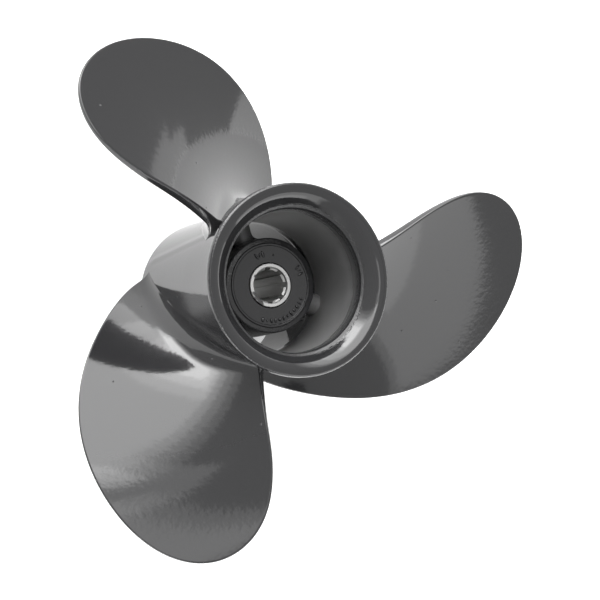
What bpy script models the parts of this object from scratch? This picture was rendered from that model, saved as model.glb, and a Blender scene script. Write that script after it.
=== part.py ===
"""Three-bladed outboard motor propeller with its exhaust led through the hub.

The shaft axis is Z, and +Z points aft, to the flared end. The origin is the propeller's centre of mass,
a point on the axis. Depths are measured forward from the flared rear end. Lengths are in metres, and
profiles are lists of (radius, depth, bend) corners in millimetres, where bend rounds the corner.
"""
import math

import bmesh
import bpy
import numpy as np

MM = 0.001

# Place of the flared rear end above the origin, which puts the origin at the centre of mass
TAIL_Z = 47.6 * MM

# Exhaust barrel: rim, flare, outer side, front ring, exhaust passage, ledge, bore, lip and bell mouth
BARREL_PROFILE = (
    (38.45, 0.0, 0.35), (38.8, 0.35, 0.4), (38.8, 2.4, 0.9), (33.3, 7.5, 12.0), (33.3, 13.0, 0.0),
    (32.2, 96.5, 1.0), (29.8, 96.5, 0.5), (29.3, 95.0, 1.0), (29.3, 58.0, 3.0), (27.4, 52.6, 0.8),
    (27.5, 46.9, 0.8), (28.7, 7.6, 0.6), (29.2, 5.8, 0.25), (30.2, 5.3, 0.2), (34.6, 0.0, 7.0),
)
BARREL_REAR_RADIUS = 33.3 * MM
BARREL_REAR_DEPTH = 13.0 * MM
BARREL_FRONT_RADIUS = 32.2 * MM
BARREL_LENGTH = 96.5 * MM
FRONT_EDGE_ROUND = 1.0 * MM

# Inner hub: a cup that is open forward and holds the cushion, with a raised bead on its rear face
HUB_PROFILE = (
    (9.3, 30.6, 0.0), (16.0, 30.5, 0.0), (16.35, 30.05, 0.0), (16.95, 30.05, 0.0), (17.3, 30.5, 0.0),
    (19.6, 31.2, 3.5), (20.6, 88.0, 1.0), (16.4, 88.0, 0.8), (16.2, 37.5, 0.5), (9.3, 37.5, 0.3),
)

# Webs that join the hub to the barrel, in line with the blade roots
WEB_ANGLE = 82.0
WEB_THICKNESS = 9.0 * MM
WEB_INNER_RADIUS = 18.0 * MM
WEB_OUTER_RADIUS = 30.3 * MM
WEB_DEPTHS = (42.0 * MM, 86.0 * MM)

# Blades: the aft face is a helical surface, and the thickness lies on its fore side
BLADES = 3
BLADE_ANGLE = 90.0
PITCH = 280.0 * MM
BLADE_DEPTH = 40.3 * MM
RAKE_START_RADIUS = 35.1 * MM
RAKE_SPAN = 73.9 * MM
RAKE_AFT = 6.6 * MM
RAKE_BACK = 8.3 * MM
TIP_RADIUS = 117.5 * MM
ROOT_BODY = 5.0 * MM
TIP_BODY = 1.4 * MM
BODY_TAPER = 15.0 * MM
AFT_CORNER = 0.6 * MM
FORE_CORNER = 0.8 * MM

# Depth of the blunt edges at the root and at the tip, and the stretch of the chord where the leading
# edge's depth turns into the trailing edge's
LEADING_EDGE = (2.0 * MM, 1.0 * MM)
TRAILING_EDGE = (4.0 * MM, 1.3 * MM)
EDGE_CHANGE = (0.3, 0.7)

# Fillet radii at the leading edge, in the middle and at the trailing edge, and their places on the chord
AFT_FILLETS = (4.5 * MM, 9.5 * MM, 4.0 * MM)
FORE_FILLETS = (4.0 * MM, 7.5 * MM, 5.5 * MM)
FILLET_PLACES = (0.0, 0.55, 1.0)
FOOT_RADIUS = 30.4 * MM

# Control points of the blade's outline, from the leading edge's root round the tip to the trailing
# edge's root: radius in mm, and degrees round the axis from the blade's reference line
BLADE_OUTLINE = (
    (33.5, -65.0), (49.3, -47.3), (73.5, -31.2), (95.1, -16.5), (111.4, 0.2), (119.2, 13.3),
    (115.6, 23.5), (98.6, 30.5), (76.2, 31.9), (58.3, 29.1), (33.7, 21.9),
)
OUTLINE_DEGREE = 3
SPINE_REACH = 0.8
ROWS = 26
FOOT_ROWS = 4
HALF_COLUMNS = (0.0, 0.002, 0.0045, 0.012, 0.04, 0.12, 0.26, 0.5)

# Rubber cushion, dished a little at its front end
CUSHION_PROFILE = (
    (9.2, 38.5, 0.0), (15.9, 38.5, 1.0), (15.9, 86.5, 1.0), (12.6, 85.3, 2.0), (9.8, 86.5, 0.0),
    (9.2, 86.5, 0.0),
)

# Metal sleeve, plain at both ends and splined between
SPLINE_MAJOR = 7.4
SPLINE_MINOR = 6.6
SLEEVE_PROFILE = (
    (SPLINE_MAJOR, 30.2, 0.0), (8.6, 30.2, 0.0), (8.9, 30.5, 0.0), (8.9, 91.7, 0.0), (8.6, 92.0, 0.0),
    (SPLINE_MAJOR, 92.0, 0.0), (SPLINE_MAJOR, 90.4, 0.0), (SPLINE_MINOR, 90.2, 0.0),
    (SPLINE_MINOR, 32.0, 0.0), (SPLINE_MAJOR, 31.8, 0.0),
)
SPLINES = 8
SPLINE_ANGLE = 25.0
GROOVE_WIDTH = 2.2 * MM
GROOVE_RADII = (3.0 * MM, 7.5 * MM)
GROOVE_DEPTHS = (28.0 * MM, 94.0 * MM)

SEGMENTS = 64
SLEEVE_SEGMENTS = 48
BEND_SAG = 0.1
SMOOTH_ANGLE = math.radians(35)
WELD = 0.001 * MM


def material(name, colour, roughness, metallic):
    """A Principled material from a linear colour."""
    made = bpy.data.materials.new(name)
    made.use_nodes = True
    shader = made.node_tree.nodes["Principled BSDF"]
    shader.inputs["Base Color"].default_value = (*colour, 1.0)
    shader.inputs["Roughness"].default_value = roughness
    shader.inputs["Metallic"].default_value = metallic
    return made


def finish(name, mesh_builder, surface):
    """Makes a smooth-shaded object from a bmesh."""
    bmesh.ops.recalc_face_normals(mesh_builder, faces=mesh_builder.faces)
    mesh = bpy.data.meshes.new(name)
    mesh_builder.to_mesh(mesh)
    mesh_builder.free()
    mesh.materials.append(surface)
    mesh.shade_smooth()
    mesh.set_sharp_from_angle(angle=SMOOTH_ANGLE)
    made = bpy.data.objects.new(name, mesh)
    bpy.context.collection.objects.link(made)
    return made


def rounded(corners):
    """Radius and depth of a closed profile's points, with every corner rounded by its bend."""
    corners = np.array(corners)
    points = []
    for before, corner, after in zip(np.roll(corners, 1, 0), corners, np.roll(corners, -1, 0)):
        here, bend = corner[:2], corner[2]
        if bend == 0:
            points.append(here)
            continue
        ways = [before[:2] - here, after[:2] - here]
        lengths = [np.linalg.norm(way) for way in ways]
        ways = [way / length for way, length in zip(ways, lengths)]
        half = math.acos(np.clip(ways[0] @ ways[1], -1, 1)) / 2
        reach = min(bend / math.tan(half), *(0.92 * length for length in lengths))
        start, end = [here + way * reach for way in ways]
        steps = math.ceil((math.pi - 2 * half) * math.sqrt(bend / (8 * BEND_SAG)))
        for share in np.linspace(0, 1, steps + 1):
            points.append((1 - share) ** 2 * start + 2 * share * (1 - share) * here + share ** 2 * end)
    return np.array(points) * MM


def turned(name, corners, segments, surface):
    """Spins a closed profile round the shaft axis."""
    shape = bmesh.new()
    points = [shape.verts.new((radius, 0.0, TAIL_Z - depth)) for radius, depth in rounded(corners)]
    edges = [shape.edges.new(pair) for pair in zip(points, points[1:] + points[:1])]
    bmesh.ops.spin(
        shape, geom=points + edges, cent=(0, 0, 0), axis=(0, 0, 1), angle=math.tau, steps=segments,
    )
    bmesh.ops.remove_doubles(shape, verts=shape.verts, dist=WELD)
    return finish(name, shape, surface)


def add_bar(shape, radii, width, depths, angle):
    """Adds a straight bar along the shaft, between two radii and two depths, at an angle round the axis."""
    corners = bmesh.ops.create_cube(shape, size=1.0)["verts"]
    bmesh.ops.scale(shape, vec=(radii[1] - radii[0], width, depths[1] - depths[0]), verts=corners)
    bmesh.ops.translate(shape, vec=(sum(radii) / 2, 0, TAIL_Z - sum(depths) / 2), verts=corners)
    turn = math.radians(angle)
    spin = np.array(((math.cos(turn), -math.sin(turn), 0), (math.sin(turn), math.cos(turn), 0), (0, 0, 1)))
    for vert in corners:
        vert.co = spin @ np.array(vert.co)


def combine(target, tool, operation):
    """Adds or cuts a tool shape, which is hidden from then on."""
    step = target.modifiers.new(f"{operation.lower()}_{tool.name}", "BOOLEAN")
    step.operation = operation
    step.solver = "EXACT"
    step.object = tool
    tool.hide_render = True
    tool.display_type = "WIRE"


def web(name, angle, surface):
    """A flat web that runs from inside the hub's wall to inside the barrel's."""
    shape = bmesh.new()
    add_bar(shape, (WEB_INNER_RADIUS, WEB_OUTER_RADIUS), WEB_THICKNESS, WEB_DEPTHS, angle)
    return finish(name, shape, surface)


def barrel_radius(depth):
    """The barrel's outer radius at a depth, without the flare."""
    return np.interp(depth, (BARREL_REAR_DEPTH, BARREL_LENGTH), (BARREL_REAR_RADIUS, BARREL_FRONT_RADIUS))


def spline_weights(count, along):
    """Weights of a clamped cubic B-spline's control points at parameters from 0 to 1."""
    degree = OUTLINE_DEGREE
    inner = np.linspace(0, 1, count - degree + 1)
    knots = np.concatenate([np.zeros(degree), inner, np.ones(degree)])
    at = np.clip(along, 0, 1 - 1e-9)[:, None]
    weights = ((knots[:-1] <= at) & (at < knots[1:])).astype(float)
    for order in range(1, degree + 1):
        rise = knots[order:-1] - knots[:-order - 1]
        fall = knots[order + 1:] - knots[1:-order]
        up = np.where(rise > 0, (at - knots[:-order - 1]) / np.where(rise > 0, rise, 1), 0)
        down = np.where(fall > 0, (knots[order + 1:] - at) / np.where(fall > 0, fall, 1), 0)
        weights = up * weights[:, :-1] + down * weights[:, 1:]
    return weights


def flat_blade():
    """The blade's flat pattern: a grid of radius and angle, and each point's place on the chord. Rows run
    from the leading edge to the trailing edge in curves that close up round the tip, where the last row
    is folded double. The first rows are the foot, inside the barrel's wall."""
    points = np.array(BLADE_OUTLINE) * (MM, math.pi / 180)
    share = np.linspace(0, 1, ROWS)
    along = (3 * share ** 2 - 2 * share ** 3) / 2
    half = np.array(HALF_COLUMNS)
    across = np.concatenate([half, (1 - half[:-1])[::-1]])
    leading, trailing, near, far = [
        spline_weights(len(points), at) @ points
        for at in (along, 1 - along, along * SPINE_REACH, 1 - along * SPINE_REACH)
    ]
    slopes = [points[1] - points[0], points[-2] - points[-1]]
    slopes.append((slopes[0] + slopes[1]) / 2)
    sink = np.linspace(1, 0, FOOT_ROWS, endpoint=False)[:, None]
    lines = []
    for line, slope in zip((leading, trailing, (near + far) / 2), slopes):
        foot = line[0] + sink * (FOOT_RADIUS - line[0, 0]) / slope[0] * slope
        lines.append(np.concatenate([foot, line])[:, None])
    leading, trailing, middle = lines
    along_chord = across[:, None]
    grid = (1 - along_chord) ** 2 * leading + along_chord ** 2 * trailing
    grid += 2 * along_chord * (1 - along_chord) * middle
    place = np.tile(across, (len(grid), 1))
    place[-1] = np.minimum(across, 1 - across)
    return grid, place


def blade_surface(radius, angle):
    """Point and unit normal, facing aft, of the blade's helical aft face."""
    advance = PITCH / math.tau
    out = (radius - RAKE_START_RADIUS) / RAKE_SPAN
    height = TAIL_Z - BLADE_DEPTH + advance * angle + RAKE_AFT * out - RAKE_BACK * out ** 2
    slope = (RAKE_AFT - 2 * RAKE_BACK * out) / RAKE_SPAN
    turn = angle + math.radians(BLADE_ANGLE)
    cos, sin = np.cos(turn), np.sin(turn)
    point = np.stack([radius * cos, radius * sin, height], axis=-1)
    by_radius = np.stack([cos, sin, slope], axis=-1)
    by_angle = np.stack([-radius * sin, radius * cos, np.full_like(radius, advance)], axis=-1)
    normal = np.cross(by_radius, by_angle)
    return point, normal / np.linalg.norm(normal, axis=-1, keepdims=True)


def edge_distance(points, edge):
    """Shortest distance from each point to an edge line."""
    start, step = edge[:-1], np.diff(edge, axis=0)
    away = points[:, None] - start
    share = np.clip((away * step).sum(-1) / (step ** 2).sum(-1), 0, 1)
    return np.linalg.norm(away - share[..., None] * step, axis=-1).min(axis=1)


def fore_depth(outer, place, inset):
    """Depth of the fore face under the aft face: a blunt edge and a body that swells inwards."""
    change = np.clip((place - EDGE_CHANGE[0]) / (EDGE_CHANGE[1] - EDGE_CHANGE[0]), 0, 1)
    change = change ** 2 * (3 - 2 * change)
    root, tip = [lead + (trail - lead) * change for lead, trail in zip(LEADING_EDGE, TRAILING_EDGE)]
    body = (ROOT_BODY + (TIP_BODY - ROOT_BODY) * outer) * (1 - np.exp(-inset / BODY_TAPER))
    return root + (tip - root) * outer + body


def fillet_spread(rise, bend):
    """How far a quarter-circle fillet stands off the blade at a height above the barrel."""
    lack = np.clip(1 - rise / bend, 0, 1)
    return bend * (1 - np.sqrt(1 - lack ** 2))


def blade_sides():
    """Grids of points on the blade's aft and fore sides, with round edges and root fillets."""
    grid, place = flat_blade()
    radius, angle, place = grid[..., 0].ravel(), grid[..., 1].ravel(), place.ravel()
    point, normal = blade_surface(radius, angle)
    sheet = point.reshape(*grid.shape[:2], 3)
    inset = np.minimum(edge_distance(point, sheet[:, 0]), edge_distance(point, sheet[:, -1]))
    outer = np.clip((radius - BARREL_REAR_RADIUS) / (TIP_RADIUS - BARREL_REAR_RADIUS), 0, 1)
    rise = radius - barrel_radius(TAIL_Z - point[:, 2])
    outward = point * (1, 1, 0) / radius[:, None]
    level = normal - (normal * outward).sum(1, keepdims=True) * outward
    level /= np.linalg.norm(level, axis=1, keepdims=True)
    sides = []
    for sign, corner, depth, bends in (
        (1, AFT_CORNER, AFT_CORNER, AFT_FILLETS),
        (-1, FORE_CORNER, fore_depth(outer, place, inset), FORE_FILLETS),
    ):
        nose = sign * np.sqrt(1 - np.clip(1 - inset / corner, 0, 1) ** 2)
        spread = fillet_spread(rise, np.interp(place, FILLET_PLACES, bends))
        moved = point + normal * (nose * depth)[:, None] + level * (nose * spread)[:, None]
        moved[:, :2] *= (radius / np.linalg.norm(moved[:, :2], axis=1))[:, None]
        moved[:, 2] = np.maximum(moved[:, 2], TAIL_Z - BARREL_LENGTH + FRONT_EDGE_ROUND)
        sides.append(moved.reshape(sheet.shape))
    return sides


def blade_mesh():
    """One blade on its reference line, closed at the foot."""
    shape = bmesh.new()
    aft, fore = [[[shape.verts.new(point) for point in row] for row in side] for side in blade_sides()]
    columns = len(aft[0])
    for rows in (aft, fore):
        for near, far in zip(rows, rows[1:]):
            for i in range(columns - 1):
                shape.faces.new((near[i], far[i], far[i + 1], near[i + 1]))
    for i in range(columns - 1):
        shape.faces.new((aft[0][i], aft[0][i + 1], fore[0][i + 1], fore[0][i]))
    bmesh.ops.remove_doubles(shape, verts=shape.verts, dist=WELD)
    return shape


def casting(surface):
    """The one-piece casting: barrel, hub, webs and blades, united."""
    body = turned("casting", BARREL_PROFILE, SEGMENTS, surface)
    combine(body, turned("hub_shape", HUB_PROFILE, SEGMENTS, surface), "UNION")
    first = finish("blade_shape_1", blade_mesh(), surface)
    for number in range(BLADES):
        turn = 360.0 * number / BLADES
        combine(body, web(f"web_shape_{number + 1}", WEB_ANGLE + turn, surface), "UNION")
        blade = first
        if number:
            blade = bpy.data.objects.new(f"blade_shape_{number + 1}", first.data)
            bpy.context.collection.objects.link(blade)
            blade.rotation_euler.z = math.radians(turn)
        combine(body, blade, "UNION")
    return body


def splined_sleeve(surface):
    """The metal sleeve with its spline grooves."""
    sleeve = turned("splined_sleeve", SLEEVE_PROFILE, SLEEVE_SEGMENTS, surface)
    grooves = bmesh.new()
    for number in range(SPLINES):
        angle = SPLINE_ANGLE + 360.0 * number / SPLINES
        add_bar(grooves, GROOVE_RADII, GROOVE_WIDTH, GROOVE_DEPTHS, angle)
    combine(sleeve, finish("groove_shape", grooves, surface), "DIFFERENCE")
    return sleeve


def main():
    for old in list(bpy.data.objects):
        bpy.data.objects.remove(old)
    casting(material("gloss_black_paint", (0.012, 0.012, 0.013), 0.12, 0.0))
    rubber = material("bush_rubber", (0.015, 0.015, 0.014), 0.75, 0.0)
    turned("rubber_cushion", CUSHION_PROFILE, SLEEVE_SEGMENTS, rubber)
    splined_sleeve(material("machined_sleeve_metal", (0.62, 0.60, 0.57), 0.3, 1.0))


main()
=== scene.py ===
"""Looks of a three-bladed outboard motor propeller in gloss black enamel.

The shaft axis is Z and +Z points aft. Depths are measured forward from the flared rear end. Profiles are
lists of (radius, depth, bend) corners in millimetres, where bend is the radius that rounds the corner.
"""

import math

import bmesh
import bpy
import numpy as np
from mathutils import Matrix, Vector


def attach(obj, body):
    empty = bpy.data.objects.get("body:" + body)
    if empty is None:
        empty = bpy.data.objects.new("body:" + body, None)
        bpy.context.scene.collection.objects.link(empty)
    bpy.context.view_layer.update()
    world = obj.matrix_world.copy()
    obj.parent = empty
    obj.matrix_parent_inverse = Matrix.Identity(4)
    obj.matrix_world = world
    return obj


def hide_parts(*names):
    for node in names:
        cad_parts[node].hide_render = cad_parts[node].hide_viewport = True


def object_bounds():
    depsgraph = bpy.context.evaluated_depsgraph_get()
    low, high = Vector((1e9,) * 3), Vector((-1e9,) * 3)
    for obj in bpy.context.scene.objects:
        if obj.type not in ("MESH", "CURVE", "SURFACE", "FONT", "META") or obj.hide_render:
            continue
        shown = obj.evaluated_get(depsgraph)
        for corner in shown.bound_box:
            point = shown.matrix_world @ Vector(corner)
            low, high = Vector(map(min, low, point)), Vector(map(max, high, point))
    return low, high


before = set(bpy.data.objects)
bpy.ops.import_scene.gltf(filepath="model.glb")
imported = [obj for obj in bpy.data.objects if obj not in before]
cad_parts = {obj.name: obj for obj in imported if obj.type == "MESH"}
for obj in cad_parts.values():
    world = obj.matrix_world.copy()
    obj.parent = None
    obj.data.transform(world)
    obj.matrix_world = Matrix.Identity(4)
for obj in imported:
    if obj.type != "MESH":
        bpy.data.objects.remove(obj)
cad_low, cad_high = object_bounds()

MM = 0.001
TAIL_Z = cad_high.z

# Blades: helical surfaces as in the frame. The outline's control points are (radius in mm, degrees from
# the blade's reference line), from the leading root round the tip to the trailing root.
BLADES = 3
PITCH = 280.0 * MM
BLADE_DEPTH = 40.3 * MM
BLADE_OUTLINE = (
    (33.5, -65.0), (49.3, -47.3), (73.5, -31.2), (95.1, -16.5), (111.4, 0.2), (119.2, 13.3),
    (115.6, 23.5), (98.6, 30.5), (76.2, 31.9), (58.3, 29.1), (33.7, 21.9),
)
OUTLINE_POINTS = np.array(BLADE_OUTLINE) * (MM, math.pi / 180)
SPINE_REACH = 0.8
FOOT_RADIUS = 30.4 * MM

# A blade's mesh: rows from edge to edge, with steps that grow up to a row, and columns from an edge to the
# middle, which crowd towards the edge
BLADE_ROWS = 130
FOOT_ROWS = 16
LONGEST_ROW_STEP = 30
BLADE_COLUMNS = 44
EDGE_CROWDING = 2.2

# The barrel's outer side, as (radius, depth) behind and in front
BARREL_REAR = (33.3 * MM, 13.0 * MM)
BARREL_FRONT = (32.2 * MM, 96.5 * MM)

# Profiles of barrel, hub and cushion
BARREL_PROFILE = (
    (38.8, 0.0, 1.9), (38.8, 2.8, 0.8), (33.3, 7.5, 12.0), (33.3, 13.0, 0.0),
    (32.2, 96.5, 1.0), (29.8, 96.5, 0.5), (29.3, 95.0, 1.0), (29.3, 58.0, 3.0), (27.4, 52.6, 0.8),
    (27.5, 46.9, 0.8), (28.7, 7.6, 0.6), (29.2, 5.8, 0.25), (30.2, 5.3, 0.2), (34.6, 0.0, 7.0),
)
HUB_PROFILE = (
    (9.3, 30.6, 0.2), (16.0, 30.5, 0.25), (16.35, 30.05, 0.2), (16.95, 30.05, 0.2), (17.3, 30.5, 0.3),
    (19.4, 30.8, 0.9), (20.6, 88.0, 1.0), (16.4, 88.0, 0.8), (16.2, 37.5, 0.5), (9.3, 37.5, 0.3),
)
CUSHION_PROFILE = (
    (9.2, 38.5, 0.2), (15.9, 38.5, 1.0), (15.9, 86.5, 1.0), (12.6, 85.3, 2.0), (9.8, 86.5, 0.4),
    (9.2, 86.5, 0.1),
)
HUB_FACE_Z = TAIL_Z - 30.5 * MM

# Sleeve: depths of its bevelled ends, and the splines, which start behind plain stretches and short ramps.
# GROOVE_FLANK is the angle that a groove's steep side takes, in radians.
SLEEVE_DEPTHS = (30.2 * MM, 92.0 * MM)
SLEEVE_RADIUS = 8.9 * MM
SLEEVE_BEVEL = 0.18 * MM
SPLINES = 8
SPLINE_ANGLE = 25.0
SPLINE_GROOVE_WIDTH = 2.2 * MM
SPLINE_MAJOR = 7.4 * MM
SPLINE_MINOR = 6.6 * MM
SPLINE_LEAD_IN = 1.6 * MM
SPLINE_RAMP = 0.6 * MM
GROOVE_FLANK = 0.012

# Webs between hub and barrel. WEB_EDGE_START is the angle, in radians, at which the round rear edge starts
# beside a narrow flat.
WEB_ANGLE = 82.0
WEB_HALF = 4.5 * MM
WEB_SPAN = (19.2 * MM, 30.3 * MM)
WEB_DEPTHS = (42.0 * MM, 86.0 * MM)
WEB_FOOT_ROUND = 3.0 * MM
WEB_EDGE_START = 0.12

# Parting line of the casting: degrees round the shaft and height at its two ends. Its ridge has a half
# width, a height, a crest rounded by a small share, and heights between which it stands, with the length
# over which it runs out. Only points past OUTSIDE_RADIUS are on the barrel's outside.
PARTING_LINE = ((116.0, TAIL_Z - 20.0 * MM), (129.5, TAIL_Z - 90.0 * MM))
PARTING_HALF = 2.5 * MM
PARTING_HEIGHT = 0.2 * MM
PARTING_ENDS = (TAIL_Z - 12.0 * MM, TAIL_Z - 95.0 * MM)
PARTING_RUN_OUT = 6.0 * MM
CREST_ROUND = 0.002
OUTSIDE_RADIUS = 31.5 * MM

# Cast marks on the hub's rear face: one row of pips, and two groups of short bars, as degrees round the
# shaft and length, width and height in mm
CAST_MARKS = (
    {"Count": 12, "Radius": 14.4 * MM, "From": 232.0, "To": 314.0, "Size": (2.2, 1.1, 1.5)},
    {"Count": 3, "Radius": 12.9 * MM, "From": 80.0, "To": 93.0, "Size": (3.0, 1.0, 1.3)},
    {"Count": 3, "Radius": 14.2 * MM, "From": -4.0, "To": 8.0, "Size": (2.8, 0.9, 1.3)},
)

# Bands where sand grain shows through the paint, as (inner radius, outer radius, front depth, rear depth)
# in mm: the bore's lip, the hub's bead and the flared end's edge
GRAIN_BANDS = ((28.6, 30.8, 8.5, 4.6), (16.0, 19.4, 31.5, 29.5), (37.2, 38.9, 1.6, -1.0))
GRAIN_FADE = 0.2

# Camera: it looks down on the flared end
CAMERA_PLACE = Vector((-434.4 * MM, 98.0 * MM, TAIL_Z + 1014.9 * MM))
CAMERA_AIM = Vector((0.38906, -0.09519, -0.91628))
CAMERA_UP = Vector((0.39419, 0.91619, 0.0722))
LENS = 168.2
SENSOR = 36.0

# Floor, in metres
FLOOR_HALF = 4.0
FLOOR_GAP = 0.0005

# Soft boxes that the enamel mirrors. Each is built up of upright panels that stand one behind another, and
# glow brighter towards its middle. A panel has its distance from the shaft in metres, the degrees round the
# shaft at which it faces the shaft, the degrees of its two ends, the heights of its two edges in metres
# above the propeller's centre, and its glow as a share of the white background's.
SOFT_PANELS = {
    "tall_box_rim": (2.5, 85, (40, 121), (-0.1, 6.0), 0.8),
    "tall_box_wide": (2.6, 85, (44, 117), (-0.1, 6.0), 1.0),
    "tall_box_middle": (2.7, 85, (50, 113), (-0.1, 6.0), 1.6),
    "tall_box_core": (2.8, 85, (60, 109), (-0.1, 6.0), 1.4),
    "tall_box_top": (2.4, 112, (109, 120), (3.5, 6.0), 2.3),
    "tall_box_top_wide": (2.45, 112, (110, 134), (3.1, 6.0), 1.0),
    "tall_box_foot_wide": (2.9, 94, (72, 110), (-0.1, 1.55), 1.2),
    "tall_box_foot": (3.0, 94, (76, 107), (0.0, 1.25), 1.8),
    "tall_box_foot_core": (3.1, 94, (80, 104), (0.1, 1.0), 2.8),
    "back_box": (3.0, 150, (126, 172), (5.2, 9.0), 0.9),
    "back_box_top": (3.1, 150, (126, 175), (6.0, 9.0), 0.9),
    "side_box_wide": (2.5, 250, (248, 316), (0.0, 2.25), 0.8),
    "side_box_core": (2.6, 250, (252, 315), (0.0, 2.3), 0.7),
    "side_box_low": (2.7, 250, (262, 314), (0.0, 1.1), 0.7),
    "side_strip": (2.6, 212, (195, 231), (0.0, 0.3), 14.0),
    "low_box": (2.5, 18, (5, 34), (-0.1, 0.25), 1.1),
    "low_box_top": (2.5, 18, (10, 30), (0.25, 0.38), 1.1),
    "low_box_right": (2.5, 337, (325, 350), (-0.1, 0.58), 1.4),
}

# Watts for each square metre of a panel that glows like the white background
WHITE_WATTS = 4.0


def linear(hex_colour):
    """Linear RGBA from an sRGB hex colour."""
    parts = [int(hex_colour[i:i + 2], 16) / 255 for i in (1, 3, 5)]
    return (*[c / 12.92 if c <= 0.04045 else ((c + 0.055) / 1.055) ** 2.4 for c in parts], 1.0)


def add(tree, kind, inputs=None, **settings):
    """Adds a node. An input is a value, a node for its first output, or a (node, output) pair."""
    made = tree.nodes.new(kind)
    for name, value in settings.items():
        setattr(made, name, value)
    for name, value in (inputs or {}).items():
        if isinstance(value, bpy.types.Node):
            value = (value, 0)
        if isinstance(value, tuple) and isinstance(value[0], bpy.types.Node):
            tree.links.new(value[0].outputs[value[1]], made.inputs[name])
        else:
            made.inputs[name].default_value = value
    return made


def rounded(corners, widest=0.92, straight=1.56, degrees_a_step=6):
    """Points of a closed profile with every corner rounded by its bend radius. A bend takes no more than
    the widest share of the sides next to it, and a corner that is all but straight gets none."""
    corners = np.array(corners)
    points = []
    for before, corner, after in zip(np.roll(corners, 1, 0), corners, np.roll(corners, -1, 0)):
        here, bend = corner[:2], corner[2]
        ways = [before[:2] - here, after[:2] - here]
        lengths = [np.linalg.norm(way) for way in ways]
        ways = [way / length for way, length in zip(ways, lengths)]
        half = math.acos(np.clip(ways[0] @ ways[1], -1, 1)) / 2
        reach = min(bend / math.tan(half), *(widest * length for length in lengths))
        if bend == 0 or half > straight:
            points.append(here)
            continue
        start, end = [here + way * reach for way in ways]
        steps = max(4, int(math.degrees(math.pi - 2 * half) / degrees_a_step))
        for share in np.linspace(0, 1, steps + 1):
            points.append((1 - share) ** 2 * start + 2 * share * (1 - share) * here + share ** 2 * end)
    return np.array(points) * MM


def mesh_object(name, verts, faces, surface=None):
    """A smooth-shaded object from points and faces."""
    mesh = bpy.data.meshes.new(name)
    mesh.from_pydata([tuple(v) for v in verts], [], faces)
    mesh.validate()
    if surface:
        mesh.materials.append(surface)
    mesh.shade_smooth()
    made = bpy.data.objects.new(name, mesh)
    bpy.context.scene.collection.objects.link(made)
    return made


def turned(name, corners, segments, surface, longest=200.0 * MM):
    """A closed profile turned round the shaft axis, in steps no longer than a length."""
    profile = []
    points = rounded(corners)
    for here, there in zip(points, np.roll(points, -1, 0)):
        steps = math.ceil(np.linalg.norm(there - here) / longest)
        profile.extend(here + (there - here) * k / steps for k in range(steps))
    angles = np.linspace(0, math.tau, segments, endpoint=False)
    ring = np.stack([np.cos(angles), np.sin(angles)], 1)
    verts = [(r * c, r * s, TAIL_Z - d) for r, d in profile for c, s in ring]
    count = len(profile)
    faces = []
    for i in range(count):
        j = (i + 1) % count
        for a in range(segments):
            b = (a + 1) % segments
            faces.append((i * segments + a, j * segments + a, j * segments + b, i * segments + b))
    made = mesh_object(name, verts, faces, surface)
    outward(made)
    made.data.set_sharp_from_angle(angle=math.radians(50))
    return made


def stacked(name, rings, surface, joined):
    """A skin through rings of equally many points, closed from the last ring to the first where joined,
    and otherwise capped at both ends."""
    count = len(rings[0])
    verts = [tuple(point) for ring in rings for point in ring]
    faces = []
    for level in range(len(rings) - (0 if joined else 1)):
        above = (level + 1) % len(rings)
        for a in range(count):
            b = (a + 1) % count
            faces.append((level * count + a, level * count + b, above * count + b, above * count + a))
    if not joined:
        faces.append(tuple(range(count)))
        faces.append(tuple(range((len(rings) - 1) * count, len(rings) * count)))
    made = mesh_object(name, verts, faces, surface)
    outward(made)
    made.data.set_sharp_from_angle(angle=math.radians(40))
    return made


def raise_parting_lines(barrel):
    """A low ridge on the barrel's outside where the casting's mould parts: it runs from each blade's
    trailing root to the next blade's leading root."""
    points = np.zeros(len(barrel.data.vertices) * 3)
    barrel.data.vertices.foreach_get("co", points)
    points = points.reshape(-1, 3)
    radius = np.hypot(points[:, 0], points[:, 1])
    start, end = PARTING_LINE
    share = np.clip((points[:, 2] - start[1]) / (end[1] - start[1]), 0, 1)
    line = start[0] + (end[0] - start[0]) * share
    apart = 360 / BLADES
    off = (np.degrees(np.arctan2(points[:, 1], points[:, 0])) - line + apart / 2) % apart - apart / 2
    away = np.abs(np.radians(off)) * radius / PARTING_HALF
    lift = PARTING_HEIGHT * (1 - np.sqrt(away ** 2 + CREST_ROUND)).clip(0, 1)
    rear, front = PARTING_ENDS
    fade = np.clip((rear - points[:, 2]) / PARTING_RUN_OUT, 0, 1)
    fade *= np.clip((points[:, 2] - front) / PARTING_RUN_OUT, 0, 1)
    grown = 1 + np.where(radius > OUTSIDE_RADIUS, lift * fade, 0) / radius
    points[:, :2] *= grown[:, None]
    barrel.data.vertices.foreach_set("co", points.ravel())
    barrel.data.update()


def outward(piece):
    """Turns every face of a closed piece outwards."""
    shape = bmesh.new()
    shape.from_mesh(piece.data)
    bmesh.ops.recalc_face_normals(shape, faces=shape.faces)
    shape.to_mesh(piece.data)
    shape.free()


def spline_weights(count, along, degree=3):
    """Weights of a clamped cubic B-spline's control points at parameters from 0 to 1."""
    inner = np.linspace(0, 1, count - degree + 1)
    knots = np.concatenate([np.zeros(degree), inner, np.ones(degree)])
    at = np.clip(along, 0, 1 - 1e-9)[:, None]
    weights = ((knots[:-1] <= at) & (at < knots[1:])).astype(float)
    for order in range(1, degree + 1):
        rise = knots[order:-1] - knots[:-order - 1]
        fall = knots[order + 1:] - knots[1:-order]
        up = np.where(rise > 0, (at - knots[:-order - 1]) / np.where(rise > 0, rise, 1), 0)
        down = np.where(fall > 0, (knots[order + 1:] - at) / np.where(fall > 0, fall, 1), 0)
        weights = up * weights[:, :-1] + down * weights[:, 1:]
    return weights


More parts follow.
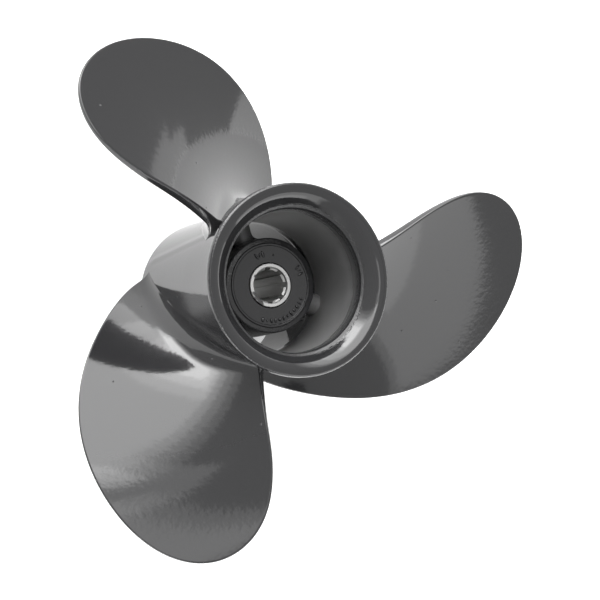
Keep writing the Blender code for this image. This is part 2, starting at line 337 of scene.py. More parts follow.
def outline(along):
    """Radius and angle on the blade's outline, from its leading root round the tip to its trailing root."""
    return spline_weights(len(OUTLINE_POINTS), along) @ OUTLINE_POINTS


def root_slopes():
    """Outward directions of the outline at its leading and trailing roots, as radius and angle."""
    return OUTLINE_POINTS[1] - OUTLINE_POINTS[0], OUTLINE_POINTS[-2] - OUTLINE_POINTS[-1]


def flat_blade():
    """The blade's flat pattern: x is the radius, y the angle round the axis. Rows run from the leading
    edge to the trailing edge in curves that close up round the tip, where the last row is folded double.
    The first rows are the foot, inside the barrel's wall."""
    steps = np.minimum(np.arange(BLADE_ROWS), LONGEST_ROW_STEP)
    along = 0.5 * np.cumsum(steps) / np.sum(steps)
    half = 0.5 * np.linspace(0, 1, BLADE_COLUMNS) ** EDGE_CROWDING
    across = np.concatenate([half, (1 - half[:-1])[::-1]])[None, :, None]
    leading, trailing = outline(along), outline(1 - along)
    middle = (outline(along * SPINE_REACH) + outline(1 - along * SPINE_REACH)) / 2
    sink = np.linspace(1, 0, FOOT_ROWS, endpoint=False)[:, None]
    sides = []
    for side, slope in zip((leading, trailing, middle), (*root_slopes(), sum(root_slopes()) / 2)):
        foot = side[0] + sink * (FOOT_RADIUS - side[0, 0]) / slope[0] * slope
        sides.append(np.concatenate([foot, side])[:, None])
    leading, trailing, middle = sides
    grid = (1 - across) ** 2 * leading + 2 * across * (1 - across) * middle + across ** 2 * trailing
    width = grid.shape[1]
    index = np.arange(grid.shape[0] * width).reshape(grid.shape[:2])
    index[-1, BLADE_COLUMNS:] = index[-1, :BLADE_COLUMNS - 1][::-1]
    faces = []
    for near, far in zip(index, index[1:]):
        for j in range(width - 1):
            corners = (near[j], near[j + 1], far[j + 1], far[j])
            faces.append(tuple(int(i) for i in corners))
    points = np.delete(grid.reshape(-1, 2), np.s_[index.size - BLADE_COLUMNS + 1:], axis=0)
    made = mesh_object("flat_blade", [(r, a, 0.0) for r, a in points], faces)
    on_edge = made.data.attributes.new("on_edge", "BOOLEAN", "POINT")
    on_edge.data.foreach_set("value", [i % width in (0, width - 1) for i in range(len(points))])
    trail = made.data.attributes.new("trailing", "FLOAT", "POINT")
    trail.data.foreach_set("value", np.broadcast_to(across[..., 0], index.shape).ravel()[:len(points)])
    return made


def new_tree(name, sizes):
    """A geometry tree with a Geometry input and output and named size inputs, and a function that finds
    an input by its name."""
    tree = bpy.data.node_groups.new(name, "GeometryNodeTree")
    tree.interface.new_socket("Geometry", in_out="INPUT", socket_type="NodeSocketGeometry")
    tree.interface.new_socket("Geometry", in_out="OUTPUT", socket_type="NodeSocketGeometry")
    for label, value in sizes.items():
        kind = {int: "NodeSocketInt", float: "NodeSocketFloat"}.get(type(value), "NodeSocketMaterial")
        socket = tree.interface.new_socket(label, in_out="INPUT", socket_type=kind)
        socket.default_value = value
    start = add(tree, "NodeGroupInput")

    def size(label):
        return start, label

    return tree, size


def run_tree(piece, tree, sizes):
    """Puts a tree on a piece, sets its named inputs and turns the result into the piece's plain mesh."""
    step = piece.modifiers.new(tree.name, "NODES")
    step.node_group = tree
    for item in tree.interface.items_tree:
        if item.in_out == "INPUT" and item.name in sizes:
            step[item.identifier] = sizes[item.name]
    bpy.context.view_layer.update()
    shown = piece.evaluated_get(bpy.context.evaluated_depsgraph_get())
    result = bpy.data.meshes.new_from_object(shown)
    piece.modifiers.clear()
    result.name = piece.name
    piece.data = result
    return piece


def blade_tree(sizes):
    """Bends the flat pattern onto a helix, gives it thickness, round edges and a root fillet, and
    repeats it round the shaft."""
    t, size = new_tree("helical blades", sizes)
    flat = add(t, "ShaderNodeSeparateXYZ", {0: add(t, "GeometryNodeInputPosition")})
    radius, angle = (flat, 0), (flat, 1)

    # Height on the helix: the pitch's advance with the angle, and the rake's bow with the radius
    out = add(t, "ShaderNodeMapRange", {
        "Value": radius, "From Min": size("Rake Start"), "From Max": size("Rake End"),
    }, clamp=False)
    bow = add(t, "ShaderNodeMath", {
        0: out, 1: size("Rake Back"), 2: size("Rake Aft"),
    }, operation="MULTIPLY_ADD")
    rake = add(t, "ShaderNodeMath", {0: out, 1: bow, 2: size("Line Height")}, operation="MULTIPLY_ADD")
    advance = add(t, "ShaderNodeMath", {0: size("Pitch"), 1: math.tau}, operation="DIVIDE")
    height = add(t, "ShaderNodeMath", {0: angle, 1: advance, 2: rake}, operation="MULTIPLY_ADD")
    turn = add(t, "ShaderNodeMath", {0: angle, 1: math.pi / 2}, operation="ADD")
    spoke = add(t, "ShaderNodeCombineXYZ", {
        0: add(t, "ShaderNodeMath", {0: turn}, operation="COSINE"),
        1: add(t, "ShaderNodeMath", {0: turn}, operation="SINE"),
    })
    level = add(t, "ShaderNodeVectorMath", {0: spoke, "Scale": radius}, operation="SCALE")
    place = add(t, "ShaderNodeVectorMath", {
        0: level, 1: add(t, "ShaderNodeCombineXYZ", {2: height}),
    }, operation="ADD")
    slope = add(t, "ShaderNodeMath", {0: out, 1: size("Rake Back")}, operation="MULTIPLY")
    slope = add(t, "ShaderNodeMath", {0: slope, 1: 2.0, 2: size("Rake Aft")}, operation="MULTIPLY_ADD")
    span = add(t, "ShaderNodeMath", {0: size("Rake End"), 1: size("Rake Start")}, operation="SUBTRACT")
    slope = add(t, "ShaderNodeMath", {0: slope, 1: span}, operation="DIVIDE")
    by_radius = add(t, "ShaderNodeVectorMath", {
        0: spoke, 1: add(t, "ShaderNodeCombineXYZ", {2: slope}),
    }, operation="ADD")
    level_turn = add(t, "ShaderNodeVectorMath", {0: (0.0, 0.0, 1.0), 1: level}, operation="CROSS_PRODUCT")
    by_angle = add(t, "ShaderNodeVectorMath", {
        0: level_turn, 1: add(t, "ShaderNodeCombineXYZ", {2: advance}),
    }, operation="ADD")
    across = add(t, "ShaderNodeVectorMath", {0: by_radius, 1: by_angle}, operation="CROSS_PRODUCT")
    aft = add(t, "ShaderNodeVectorMath", {0: across}, operation="NORMALIZE")
    with_aft = add(t, "GeometryNodeStoreNamedAttribute", {
        "Geometry": size("Geometry"), "Name": "aft", "Value": aft,
    }, data_type="FLOAT_VECTOR", domain="POINT")
    depth_in = add(t, "GeometryNodeStoreNamedAttribute", {
        "Geometry": with_aft, "Name": "reach", "Value": radius,
    }, data_type="FLOAT", domain="POINT")
    helix = add(t, "GeometryNodeSetPosition", {"Geometry": depth_in, "Position": place})

    # Distance from the outline
    is_edge = add(t, "GeometryNodeInputNamedAttribute", {"Name": "on_edge"}, data_type="BOOLEAN")
    rim = add(t, "GeometryNodeSeparateGeometry", {"Geometry": helix, "Selection": is_edge}, domain="EDGE")
    near = add(t, "GeometryNodeProximity", {0: rim}, target_element="EDGES")
    sheet = add(t, "GeometryNodeStoreNamedAttribute", {
        "Geometry": helix, "Name": "inset", "Value": (near, "Distance"),
    }, data_type="FLOAT", domain="POINT")
    inset = add(t, "GeometryNodeInputNamedAttribute", {"Name": "inset"}, data_type="FLOAT")
    reach = add(t, "GeometryNodeInputNamedAttribute", {"Name": "reach"}, data_type="FLOAT")

    # Thickness: the aft face keeps to the helix and ends in a tight corner. The fore face drops away from
    # a blunt edge, which is deeper on the trailing side, and swells inwards and towards the root.
    trailing = add(t, "GeometryNodeInputNamedAttribute", {"Name": "trailing"}, data_type="FLOAT")
    edge_depths = []
    for place_of in ("Tip", "Root"):
        edge_depths.append(add(t, "ShaderNodeMapRange", {
            "Value": trailing, "From Min": 0.3, "From Max": 0.7,
            "To Min": size(f"Leading Edge {place_of}"), "To Max": size(f"Trailing Edge {place_of}"),
        }, interpolation_type="SMOOTHSTEP"))
    edge_depth = add(t, "ShaderNodeMapRange", {
        "Value": reach, "From Min": size("Root Radius"), "From Max": size("Tip Radius"),
        "To Min": edge_depths[1], "To Max": edge_depths[0],
    })
    body = add(t, "ShaderNodeMapRange", {
        "Value": reach, "From Min": size("Root Radius"), "From Max": size("Tip Radius"),
        "To Min": size("Root Body"), "To Max": size("Tip Body"),
    })
    fade = add(t, "ShaderNodeMath", {0: inset, 1: size("Edge Taper")}, operation="DIVIDE")
    fall = add(t, "ShaderNodeMath", {
        0: add(t, "ShaderNodeMath", {0: fade, 1: -1.0}, operation="MULTIPLY"),
    }, operation="EXPONENT")
    swell = add(t, "ShaderNodeMath", {0: 1.0, 1: fall}, operation="SUBTRACT")
    fore_depth = add(t, "ShaderNodeMath", {0: body, 1: swell, 2: edge_depth}, operation="MULTIPLY_ADD")
    shut = add(t, "ShaderNodeMapRange", {
        "Value": reach, "From Min": size("Foot Radius"), "From Max": size("Shut Radius"),
    })
    aft_way = add(t, "GeometryNodeInputNamedAttribute", {"Name": "aft"}, data_type="FLOAT_VECTOR")

    # Root fillets: quarter circles that sweep along the blade from edge to edge and spread over the barrel
    here = add(t, "GeometryNodeInputPosition")
    here_parts = add(t, "ShaderNodeSeparateXYZ", {0: here})
    flat_here = add(t, "ShaderNodeCombineXYZ", {0: (here_parts, 0), 1: (here_parts, 1)})
    wall = add(t, "ShaderNodeMapRange", {
        "Value": (here_parts, 2),
        "From Min": size("Front Height"), "From Max": size("Rear Height"),
        "To Min": size("Front Radius"), "To Max": size("Rear Radius"),
    })
    rise = add(t, "ShaderNodeMath", {0: reach, 1: wall}, operation="SUBTRACT")
    outward_part = add(t, "ShaderNodeVectorMath", {0: aft_way, 1: flat_here}, operation="PROJECT")
    spread_way = add(t, "ShaderNodeVectorMath", {
        0: add(t, "ShaderNodeVectorMath", {0: aft_way, 1: outward_part}, operation="SUBTRACT"),
    }, operation="NORMALIZE")

    sides = []
    for place_of, sign, width, depth in (
        ("Aft", 1.0, size("Aft Corner"), size("Aft Corner")),
        ("Fore", -1.0, size("Fore Corner"), fore_depth),
    ):
        to_middle = add(t, "ShaderNodeMapRange", {
            "Value": trailing, "From Max": 0.5,
            "To Min": size(f"{place_of} Fillet Leading"), "To Max": size(f"{place_of} Fillet Middle"),
        }, interpolation_type="SMOOTHSTEP")
        bend = add(t, "ShaderNodeMapRange", {
            "Value": trailing, "From Min": 0.6, "From Max": 1.0,
            "To Min": to_middle, "To Max": size(f"{place_of} Fillet Trailing"),
        }, interpolation_type="SMOOTHSTEP")
        lack = add(t, "ShaderNodeMapRange", {"Value": rise, "From Max": bend, "To Min": 1.0, "To Max": 0.0})
        arc_height = add(t, "ShaderNodeMath", {
            0: add(t, "ShaderNodeMath", {
                0: 1.0, 1: add(t, "ShaderNodeMath", {0: lack, 1: 2.0}, operation="POWER"),
            }, operation="SUBTRACT"),
        }, operation="SQRT")
        amount = add(t, "ShaderNodeMath", {
            0: add(t, "ShaderNodeMath", {0: 1.0, 1: arc_height}, operation="SUBTRACT"), 1: bend,
        }, operation="MULTIPLY")
        off = add(t, "ShaderNodeMapRange", {
            "Value": inset, "From Max": width, "To Min": 1.0, "To Max": 0.0,
        })
        squared = add(t, "ShaderNodeMath", {0: off, 1: 2.0}, operation="POWER")
        cosine = add(t, "ShaderNodeMath", {
            0: add(t, "ShaderNodeMath", {0: 1.0, 1: squared}, operation="SUBTRACT"),
        }, operation="SQRT")
        closed = add(t, "ShaderNodeMath", {0: cosine, 1: shut}, operation="MULTIPLY")
        signed = add(t, "ShaderNodeMath", {0: closed, 1: sign}, operation="MULTIPLY")
        thick = add(t, "ShaderNodeVectorMath", {
            0: aft_way, "Scale": add(t, "ShaderNodeMath", {0: signed, 1: depth}, operation="MULTIPLY"),
        }, operation="SCALE")
        spread = add(t, "ShaderNodeVectorMath", {
            0: spread_way, "Scale": add(t, "ShaderNodeMath", {0: signed, 1: amount}, operation="MULTIPLY"),
        }, operation="SCALE")
        moved = add(t, "ShaderNodeVectorMath", {
            0: here, 1: add(t, "ShaderNodeVectorMath", {0: thick, 1: spread}, operation="ADD"),
        }, operation="ADD")
        moved_parts = add(t, "ShaderNodeSeparateXYZ", {0: moved})
        flat_way = add(t, "ShaderNodeVectorMath", {
            0: add(t, "ShaderNodeCombineXYZ", {0: (moved_parts, 0), 1: (moved_parts, 1)}),
        }, operation="NORMALIZE")
        wrapped = add(t, "ShaderNodeVectorMath", {
            0: add(t, "ShaderNodeVectorMath", {0: flat_way, "Scale": reach}, operation="SCALE"),
            1: add(t, "ShaderNodeCombineXYZ", {2: (moved_parts, 2)}),
        }, operation="ADD")
        sides.append(add(t, "GeometryNodeSetPosition", {"Geometry": sheet, "Position": wrapped}))
    flipped = add(t, "GeometryNodeFlipFaces", {"Mesh": sides[1]})
    both = add(t, "GeometryNodeJoinGeometry")
    t.links.new(sides[0].outputs[0], both.inputs[0])
    t.links.new(flipped.outputs[0], both.inputs[0])
    shell = add(t, "GeometryNodeMergeByDistance", {"Geometry": both, "Distance": 1e-7})

    # One blade for each place round the shaft
    places = add(t, "GeometryNodePoints", {"Count": size("Blades")})
    step = add(t, "ShaderNodeMath", {0: math.tau, 1: size("Blades")}, operation="DIVIDE")
    spin = add(t, "ShaderNodeMath", {0: add(t, "GeometryNodeInputIndex"), 1: step}, operation="MULTIPLY")
    copies = add(t, "GeometryNodeInstanceOnPoints", {
        "Points": places, "Instance": shell, "Rotation": add(t, "ShaderNodeCombineXYZ", {2: spin}),
    })
    real = add(t, "GeometryNodeRealizeInstances", {"Geometry": copies})
    painted = add(t, "GeometryNodeSetMaterial", {"Geometry": real, "Material": size("Paint")})
    smooth = add(t, "GeometryNodeSetShadeSmooth", {"Geometry": painted})
    add(t, "NodeGroupOutput", {0: smooth})
    return t


def blades(paint):
    """The three blades with their fillets."""
    sizes = {
        "Blades": BLADES,
        "Pitch": PITCH,
        "Line Height": TAIL_Z - BLADE_DEPTH,
        "Rake Start": 35.1 * MM,
        "Rake End": 109.0 * MM,
        "Rake Aft": 6.6 * MM,
        "Rake Back": -8.3 * MM,
        "Root Radius": 33.3 * MM,
        "Tip Radius": 117.5 * MM,
        "Root Body": 5.0 * MM,
        "Tip Body": 1.4 * MM,
        "Aft Corner": 0.6 * MM,
        "Fore Corner": 0.8 * MM,
        "Leading Edge Tip": 1.0 * MM,
        "Leading Edge Root": 2.0 * MM,
        "Trailing Edge Tip": 1.3 * MM,
        "Trailing Edge Root": 4.0 * MM,
        "Edge Taper": 15.0 * MM,
        "Foot Radius": FOOT_RADIUS,
        "Shut Radius": 31.6 * MM,
        "Front Height": TAIL_Z - BARREL_FRONT[1],
        "Rear Height": TAIL_Z - BARREL_REAR[1],
        "Front Radius": BARREL_FRONT[0],
        "Rear Radius": BARREL_REAR[0],
        "Aft Fillet Leading": 4.5 * MM,
        "Aft Fillet Middle": 9.5 * MM,
        "Aft Fillet Trailing": 4.0 * MM,
        "Fore Fillet Leading": 4.0 * MM,
        "Fore Fillet Middle": 7.5 * MM,
        "Fore Fillet Trailing": 5.5 * MM,
        "Paint": paint,
    }
    piece = flat_blade()
    piece.name = "blades"
    return run_tree(piece, blade_tree(sizes), sizes)


def marks_tree(sizes):
    """A row of low round-topped marks on an arc of the hub's rear face, each a little different in size
    and turn, as cast ones are."""
    t, size = new_tree("cast marks", sizes)
    index = add(t, "GeometryNodeInputIndex")
    last = add(t, "ShaderNodeMath", {
        0: add(t, "ShaderNodeMath", {0: size("Count"), 1: 1.0}, operation="SUBTRACT"), 1: 1.0,
    }, operation="MAXIMUM")
    angle = add(t, "ShaderNodeMapRange", {
        "Value": index, "From Max": last, "To Min": size("From"), "To Max": size("To"),
    })
    flat = add(t, "ShaderNodeCombineXYZ", {
        0: add(t, "ShaderNodeMath", {0: angle}, operation="COSINE"),
        1: add(t, "ShaderNodeMath", {0: angle}, operation="SINE"),
    })
    place = add(t, "ShaderNodeVectorMath", {
        0: add(t, "ShaderNodeVectorMath", {0: flat, "Scale": size("Radius")}, operation="SCALE"),
        1: add(t, "ShaderNodeCombineXYZ", {2: size("Face Height")}),
    }, operation="ADD")
    points = add(t, "GeometryNodePoints", {"Count": size("Count"), "Position": place})
    turn = add(t, "FunctionNodeRandomValue", {2: -0.35, 3: 0.35, "ID": index, "Seed": size("Seed")})
    spin = add(t, "ShaderNodeMath", {0: angle, 1: (turn, 1)}, operation="ADD")
    share = add(t, "FunctionNodeRandomValue", {
        0: (0.6, 0.6, 0.7), 1: (1.1, 1.3, 1.1), "ID": index, "Seed": size("Seed"),
    }, data_type="FLOAT_VECTOR")
    dome = add(t, "GeometryNodeMeshUVSphere", {"Segments": 20, "Rings": 10, "Radius": 0.5})
    box = add(t, "ShaderNodeCombineXYZ", {0: size("Length"), 1: size("Width"), 2: size("Height")})
    scale = add(t, "ShaderNodeVectorMath", {0: box, 1: share}, operation="MULTIPLY")
    copies = add(t, "GeometryNodeInstanceOnPoints", {
        "Points": points, "Instance": dome, "Rotation": add(t, "ShaderNodeCombineXYZ", {2: spin}),
        "Scale": scale,
    })
    real = add(t, "GeometryNodeRealizeInstances", {"Geometry": copies})
    painted = add(t, "GeometryNodeSetMaterial", {"Geometry": real, "Material": size("Paint")})
    add(t, "NodeGroupOutput", {0: add(t, "GeometryNodeSetShadeSmooth", {"Geometry": painted})})
    return t


def cast_marks(paint):
    """The marks on the hub's rear face: plain pips and bars, with no lettering."""
    tree, made = None, []
    for number, mark in enumerate(CAST_MARKS, 1):
        length, width, height = mark["Size"]
        sizes = {
            "Count": mark["Count"],
            "Radius": mark["Radius"],
            "From": math.radians(mark["From"]),
            "To": math.radians(mark["To"]),
            "Face Height": HUB_FACE_Z,
            "Length": length * MM,
            "Width": width * MM,
            "Height": height * MM,
            "Seed": 4,
            "Paint": paint,
        }
        tree = tree or marks_tree(sizes)
        made.append(run_tree(mesh_object(f"cast_mark_{number}", [], []), tree, sizes))
    return made


def new_material(name):
    """A Principled material, its node tree and its shader."""
    made = bpy.data.materials.new(name)
    made.use_nodes = True
    return made, made.node_tree, made.node_tree.nodes["Principled BSDF"]


def dry_spray_and_painted_light(t, place, radius, height):
    """Share of dry spray and of painted reflected light: patchy, on the bore's wall from lip to ledge."""
    in_bore = add(t, "ShaderNodeMapRange", {
        "Value": radius, "From Min": 29.8 * MM, "From Max": 29.0 * MM,
    })
    off_hub = add(t, "ShaderNodeMapRange", {"Value": radius, "From Min": 19.0 * MM, "From Max": 21.5 * MM})
    # The share grows below the lip as painted light: the deeper wall is greyed to stand for the reflection
    # it shows
    below_lip = add(t, "ShaderNodeMapRange", {
        "Value": height, "From Min": TAIL_Z - 6.5 * MM, "From Max": TAIL_Z - 16.0 * MM,
    })
    above_ledge = add(t, "ShaderNodeMapRange", {
        "Value": height, "From Min": TAIL_Z - 50.0 * MM, "From Max": TAIL_Z - 48.0 * MM,
    })
    wall = add(t, "ShaderNodeMath", {0: in_bore, 1: off_hub}, operation="MULTIPLY")
    deep = add(t, "ShaderNodeMath", {0: below_lip, 1: above_ledge}, operation="MULTIPLY")
    dry = add(t, "ShaderNodeMath", {0: wall, 1: deep}, operation="MULTIPLY")
    mist = add(t, "ShaderNodeTexNoise", {"Vector": place, "Scale": 90.0, "Detail": 4.0})
    patchy = add(t, "ShaderNodeMapRange", {
        "Value": mist, "From Min": 0.3, "From Max": 0.7, "To Min": 0.75, "To Max": 1.0,
    })
    return add(t, "ShaderNodeMath", {0: dry, 1: patchy}, operation="MULTIPLY")


def sand_grain(t, radius, height):
    """Share of sand grain that shows through the paint: 1 in the grain bands."""
    grainy = None
    for inner, outer, front, rear in GRAIN_BANDS:
        ring = add(t, "ShaderNodeMapRange", {
            "Value": radius, "From Min": (inner - GRAIN_FADE) * MM, "From Max": inner * MM,
        })
        inside = add(t, "ShaderNodeMapRange", {
            "Value": radius, "From Min": (outer + GRAIN_FADE) * MM, "From Max": outer * MM,
        })
        band = add(t, "ShaderNodeMath", {
            0: add(t, "ShaderNodeMath", {0: height, 1: TAIL_Z - front * MM}, operation="GREATER_THAN"),
            1: add(t, "ShaderNodeMath", {0: height, 1: TAIL_Z - rear * MM}, operation="LESS_THAN"),
        }, operation="MULTIPLY")
        grain = add(t, "ShaderNodeMath", {
            0: add(t, "ShaderNodeMath", {0: ring, 1: inside}, operation="MULTIPLY"), 1: band,
        }, operation="MULTIPLY")
        grainy = add(t, "ShaderNodeMath", {0: grainy, 1: grain}, operation="MAXIMUM") if grainy else grain
    return grainy


def gloss_black_enamel():
    """Enamel sprayed on a sand casting: a deep black with a sharp mirror gloss outside, whose reflections
    waver with the casting under it and with the paint's orange peel. In the bore, where the spray gun
    doesn't reach well, it is drier and rougher, and greyer below the lip: a painted reflection of light
    there. A few dust nibs stand in the paint."""
    made, t, shader = new_material("gloss_black_enamel")
    shader.inputs["IOR"].default_value = 1.5
    place = (add(t, "ShaderNodeTexCoord"), "Object")
    flat = add(t, "ShaderNodeVectorMath", {0: place, 1: (1.0, 1.0, 0.0)}, operation="MULTIPLY")
    radius = (add(t, "ShaderNodeVectorMath", {0: flat}, operation="LENGTH"), "Value")
    height = (add(t, "ShaderNodeSeparateXYZ", {0: place}), 2)
    dry_and_painted_light = dry_spray_and_painted_light(t, place, radius, height)
    # Painted reflection: the bore's lighter grey stands for light reflected by the bore's wall, as well as
    # for drier paint
    colour = add(t, "ShaderNodeMix", {
        "Factor": dry_and_painted_light, 6: linear("#1f1f20"), 7: linear("#6e6e6e"),
    }, data_type="RGBA")
    t.links.new(colour.outputs[2], shader.inputs["Base Color"])
    sheen = add(t, "ShaderNodeMapRange", {"Value": dry_and_painted_light, "To Min": 0.09, "To Max": 0.42})
    t.links.new(sheen.outputs[0], shader.inputs["Roughness"])

    # Waves of the casting (15 to 30 mm), orange peel (2 mm), and dust nibs about 1 mm across, in about
    # one of four 8 mm cells
    waves = add(t, "ShaderNodeTexNoise", {"Vector": place, "Scale": 32.0, "Detail": 1.0, "Roughness": 0.4})
    peel = add(t, "ShaderNodeTexNoise", {"Vector": place, "Scale": 480.0, "Detail": 1.0})
    wavy = add(t, "ShaderNodeBump", {"Height": waves, "Strength": 1.0, "Distance": 0.16 * MM})
    peeled = add(t, "ShaderNodeBump", {
        "Height": peel, "Strength": 1.0, "Distance": 0.02 * MM, "Normal": wavy,
    })
    nib = add(t, "ShaderNodeTexVoronoi", {"Vector": place, "Scale": 130.0})
    rare = add(t, "ShaderNodeMath", {
        0: (add(t, "ShaderNodeSeparateColor", {0: (nib, "Color")}), 0), 1: 0.72,
    }, operation="GREATER_THAN")
    dome = add(t, "ShaderNodeMapRange", {
        "Value": (nib, "Distance"), "From Max": 0.07, "To Min": 1.0, "To Max": 0.0,
    }, interpolation_type="SMOOTHSTEP")
    specks = add(t, "ShaderNodeMath", {0: dome, 1: rare}, operation="MULTIPLY")
    nibbed = add(t, "ShaderNodeBump", {
        "Height": specks, "Strength": 1.0, "Distance": 0.32 * MM, "Normal": peeled,
    })

    # Sand grain of 1 mm and finer
    sand = add(t, "ShaderNodeTexNoise", {"Vector": place, "Scale": 1100.0, "Detail": 2.0, "Roughness": 0.6})
    sandy = add(t, "ShaderNodeBump", {
        "Height": sand, "Strength": sand_grain(t, radius, height), "Distance": 0.18 * MM, "Normal": nibbed,
    })
    t.links.new(sandy.outputs[0], shader.inputs["Normal"])
    return made


def web(number, paint):
    """A flat web from hub to barrel, with fillets at both feet and a round rear edge."""
    inner, outer = WEB_SPAN
    foot = WEB_FOOT_ROUND
    swell = np.linspace(0, math.pi / 2, 7)
    near = [(inner + foot * (1 - math.sin(a)), WEB_HALF + foot * (1 - math.cos(a))) for a in swell[::-1]]
    far = [(outer - foot * (1 - math.sin(a)), WEB_HALF + foot * (1 - math.cos(a))) for a in swell]
    section = near + far + [(x, -y) for x, y in reversed(near + far)]
    turn = math.radians(WEB_ANGLE + 360.0 * number / BLADES)
    rear, front = WEB_DEPTHS
    edge = np.linspace(WEB_EDGE_START, math.pi / 2, 9)
    levels = [(rear + WEB_HALF * (1 - math.cos(a)), math.sin(a)) for a in edge] + [(front, 1.0)]
    rings = []
    for depth, share in levels:
        ring = []
        for x, y in section:
            y -= math.copysign(WEB_HALF * (1 - share), y)
            ring.append((
                x * math.cos(turn) - y * math.sin(turn),
                x * math.sin(turn) + y * math.cos(turn),
                TAIL_Z - depth,
            ))
        rings.append(ring)
    return stacked(f"web_{number + 1}", rings, paint, joined=False)


def splined_sleeve(metal):
    """The sleeve: plain and bevelled at both ends, with eight spline grooves between."""
    half = math.asin(SPLINE_GROOVE_WIDTH / 2 / SPLINE_MAJOR)
    land = (half + GROOVE_FLANK, math.tau / SPLINES - half - GROOVE_FLANK)
    angles = []
    for number in range(SPLINES):
        middle = math.radians(SPLINE_ANGLE + 360.0 * number / SPLINES)
        angles.extend((middle + place, True) for place in np.linspace(-half, half, 9))
        angles.extend((middle + place, False) for place in np.linspace(*land, 15))

    def ring(depth, radius, splined=False):
        radii = [SPLINE_MINOR if splined and not in_groove else radius for _, in_groove in angles]
        return [(r * math.cos(a), r * math.sin(a), TAIL_Z - depth) for r, (a, _) in zip(radii, angles)]

    rear, front = SLEEVE_DEPTHS
    rear_lead, front_lead = rear + SPLINE_LEAD_IN, front - SPLINE_LEAD_IN
    rings = [
        ring(rear + SLEEVE_BEVEL, SPLINE_MAJOR),
        ring(rear, SPLINE_MAJOR + SLEEVE_BEVEL),
        ring(rear, SLEEVE_RADIUS - SLEEVE_BEVEL),
        ring(rear + SLEEVE_BEVEL, SLEEVE_RADIUS),
        ring(front - SLEEVE_BEVEL, SLEEVE_RADIUS),
        ring(front, SLEEVE_RADIUS - SLEEVE_BEVEL),
        ring(front, SPLINE_MAJOR + SLEEVE_BEVEL),
        ring(front - SLEEVE_BEVEL, SPLINE_MAJOR),
        ring(front_lead, SPLINE_MAJOR),
        ring(front_lead - SPLINE_RAMP, SPLINE_MAJOR, splined=True),
        ring(rear_lead + SPLINE_RAMP, SPLINE_MAJOR, splined=True),
        ring(rear_lead, SPLINE_MAJOR),
    ]
    return stacked("sleeve", rings, metal, joined=True)


def moulded_rubber():
    """The bush's moulded rubber: matt, and nearly as black as the paint, so that the bright sleeve stands
    out in it."""
    made, _, shader = new_material("moulded_black_rubber")
    shader.inputs["Base Color"].default_value = linear("#1c1c1b")
    shader.inputs["Roughness"].default_value = 0.75
    return made


def machined_metal():
    """The sleeve's turned and broached bare metal: a soft grey shine broken by fine tool marks, with
    patches of black overspray at the rear end."""
    made, t, shader = new_material("machined_sleeve_metal")
    place = (add(t, "ShaderNodeTexCoord"), "Object")
    patch = add(t, "ShaderNodeTexNoise", {"Vector": place, "Scale": 210.0, "Detail": 3.0})
    near_rear = add(t, "ShaderNodeMapRange", {
        "Value": (add(t, "ShaderNodeSeparateXYZ", {0: place}), 2),
        "From Min": HUB_FACE_Z - 1.5 * MM, "From Max": HUB_FACE_Z - 0.5 * MM,
    })
    sprayed = add(t, "ShaderNodeMath", {
        0: add(t, "ShaderNodeMapRange", {"Value": patch, "From Min": 0.58, "From Max": 0.62}), 1: near_rear,
    }, operation="MULTIPLY")
    colour = add(t, "ShaderNodeMix", {
        "Factor": sprayed, 6: linear("#bdbdbc"), 7: linear("#3c3c3d"),
    }, data_type="RGBA")
    t.links.new(colour.outputs[2], shader.inputs["Base Color"])
    bare = add(t, "ShaderNodeMath", {0: 1.0, 1: sprayed}, operation="SUBTRACT")
    t.links.new(bare.outputs[0], shader.inputs["Metallic"])
    tooling = add(t, "ShaderNodeTexNoise", {"Vector": place, "Scale": 1500.0, "Detail": 2.0})
    scored = add(t, "ShaderNodeBump", {"Height": tooling, "Strength": 1.0, "Distance": 0.012 * MM})
    t.links.new(scored.outputs[0], shader.inputs["Normal"])
    shader.inputs["Roughness"].default_value = 0.48
    return made


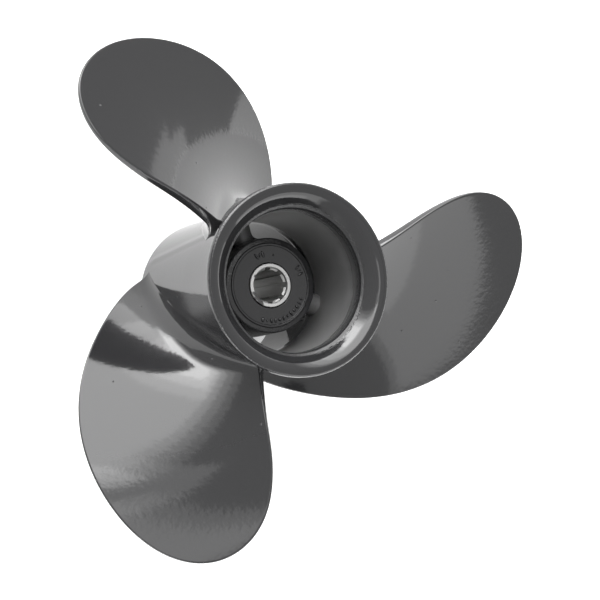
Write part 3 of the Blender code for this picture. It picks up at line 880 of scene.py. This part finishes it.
def studio():
    """Floor, soft lights and camera."""
    corners = ((-1, -1), (1, -1), (1, 1), (-1, 1))
    floor = mesh_object("floor", [
        (x * FLOOR_HALF, y * FLOOR_HALF, cad_low.z - FLOOR_GAP) for x, y in corners
    ], [(0, 1, 2, 3)], light_table())
    world = bpy.data.worlds.new("studio")
    bpy.context.scene.world = world
    world.use_nodes = True
    world.node_tree.nodes["Background"].inputs["Color"].default_value = (1, 1, 1, 1)
    world.node_tree.nodes["Background"].inputs["Strength"].default_value = 1.0
    for name, sizes in SOFT_PANELS.items():
        soft_panel(name, *sizes)
    camera = bpy.data.objects.new("camera", bpy.data.cameras.new("camera"))
    bpy.context.scene.collection.objects.link(camera)
    right = CAMERA_AIM.cross(CAMERA_UP).normalized()
    up = right.cross(CAMERA_AIM).normalized()
    turn = Matrix((right, up, -CAMERA_AIM)).transposed()
    camera.matrix_world = Matrix.Translation(CAMERA_PLACE) @ turn.to_4x4()
    camera.data.lens = LENS
    camera.data.sensor_width = SENSOR
    camera.data.clip_start = 0.05
    camera.data.clip_end = 20.0
    bpy.context.scene.camera = camera


def soft_panel(name, distance, facing, ends, heights, glow):
    """An upright soft light that faces the shaft."""
    left, right = [distance * math.tan(math.radians(end - facing)) for end in ends]
    width, height = right - left, heights[1] - heights[0]
    light = bpy.data.lights.new(name, "AREA")
    light.shape = "RECTANGLE"
    light.size, light.size_y = width, height
    light.energy = glow * WHITE_WATTS * width * height
    made = bpy.data.objects.new(name, light)
    way = Vector((math.cos(math.radians(facing)), math.sin(math.radians(facing)), 0))
    along = Vector((-way.y, way.x, 0))
    made.location = way * distance + along * (left + right) / 2 + Vector((0, 0, sum(heights) / 2))
    made.rotation_euler = (-way).to_track_quat("-Z", "Y").to_euler()
    made.visible_camera = False
    bpy.context.scene.collection.objects.link(made)
    return made


def light_table():
    """White acrylic lit from below, the pale floor."""
    made, _, shader = new_material("lit_white_acrylic")
    shader.inputs["Base Color"].default_value = linear("#f2f2f2")
    shader.inputs["Roughness"].default_value = 0.9
    shader.inputs["Emission Color"].default_value = (1.0, 1.0, 1.0, 1.0)
    shader.inputs["Emission Strength"].default_value = 0.5
    return made


def main():
    paint = gloss_black_enamel()
    painted = [
        turned("barrel", BARREL_PROFILE, 288, paint, longest=1.5 * MM),
        turned("hub", HUB_PROFILE, 192, paint),
        blades(paint),
        *[web(number, paint) for number in range(BLADES)],
        *cast_marks(paint),
    ]
    raise_parting_lines(painted[0])
    cushion = turned("cushion", CUSHION_PROFILE, 128, moulded_rubber())
    sleeve = splined_sleeve(machined_metal())
    slots = {"casting_paint": painted, "cushion_rubber": [cushion], "sleeve_metal": [sleeve]}
    for slot, pieces in slots.items():
        for piece in pieces:
            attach(piece, "root")
    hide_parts("casting")
    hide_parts("rubber_cushion")
    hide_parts("splined_sleeve")
    studio()
    bpy.context.scene.view_settings.view_transform = "Standard"


main()
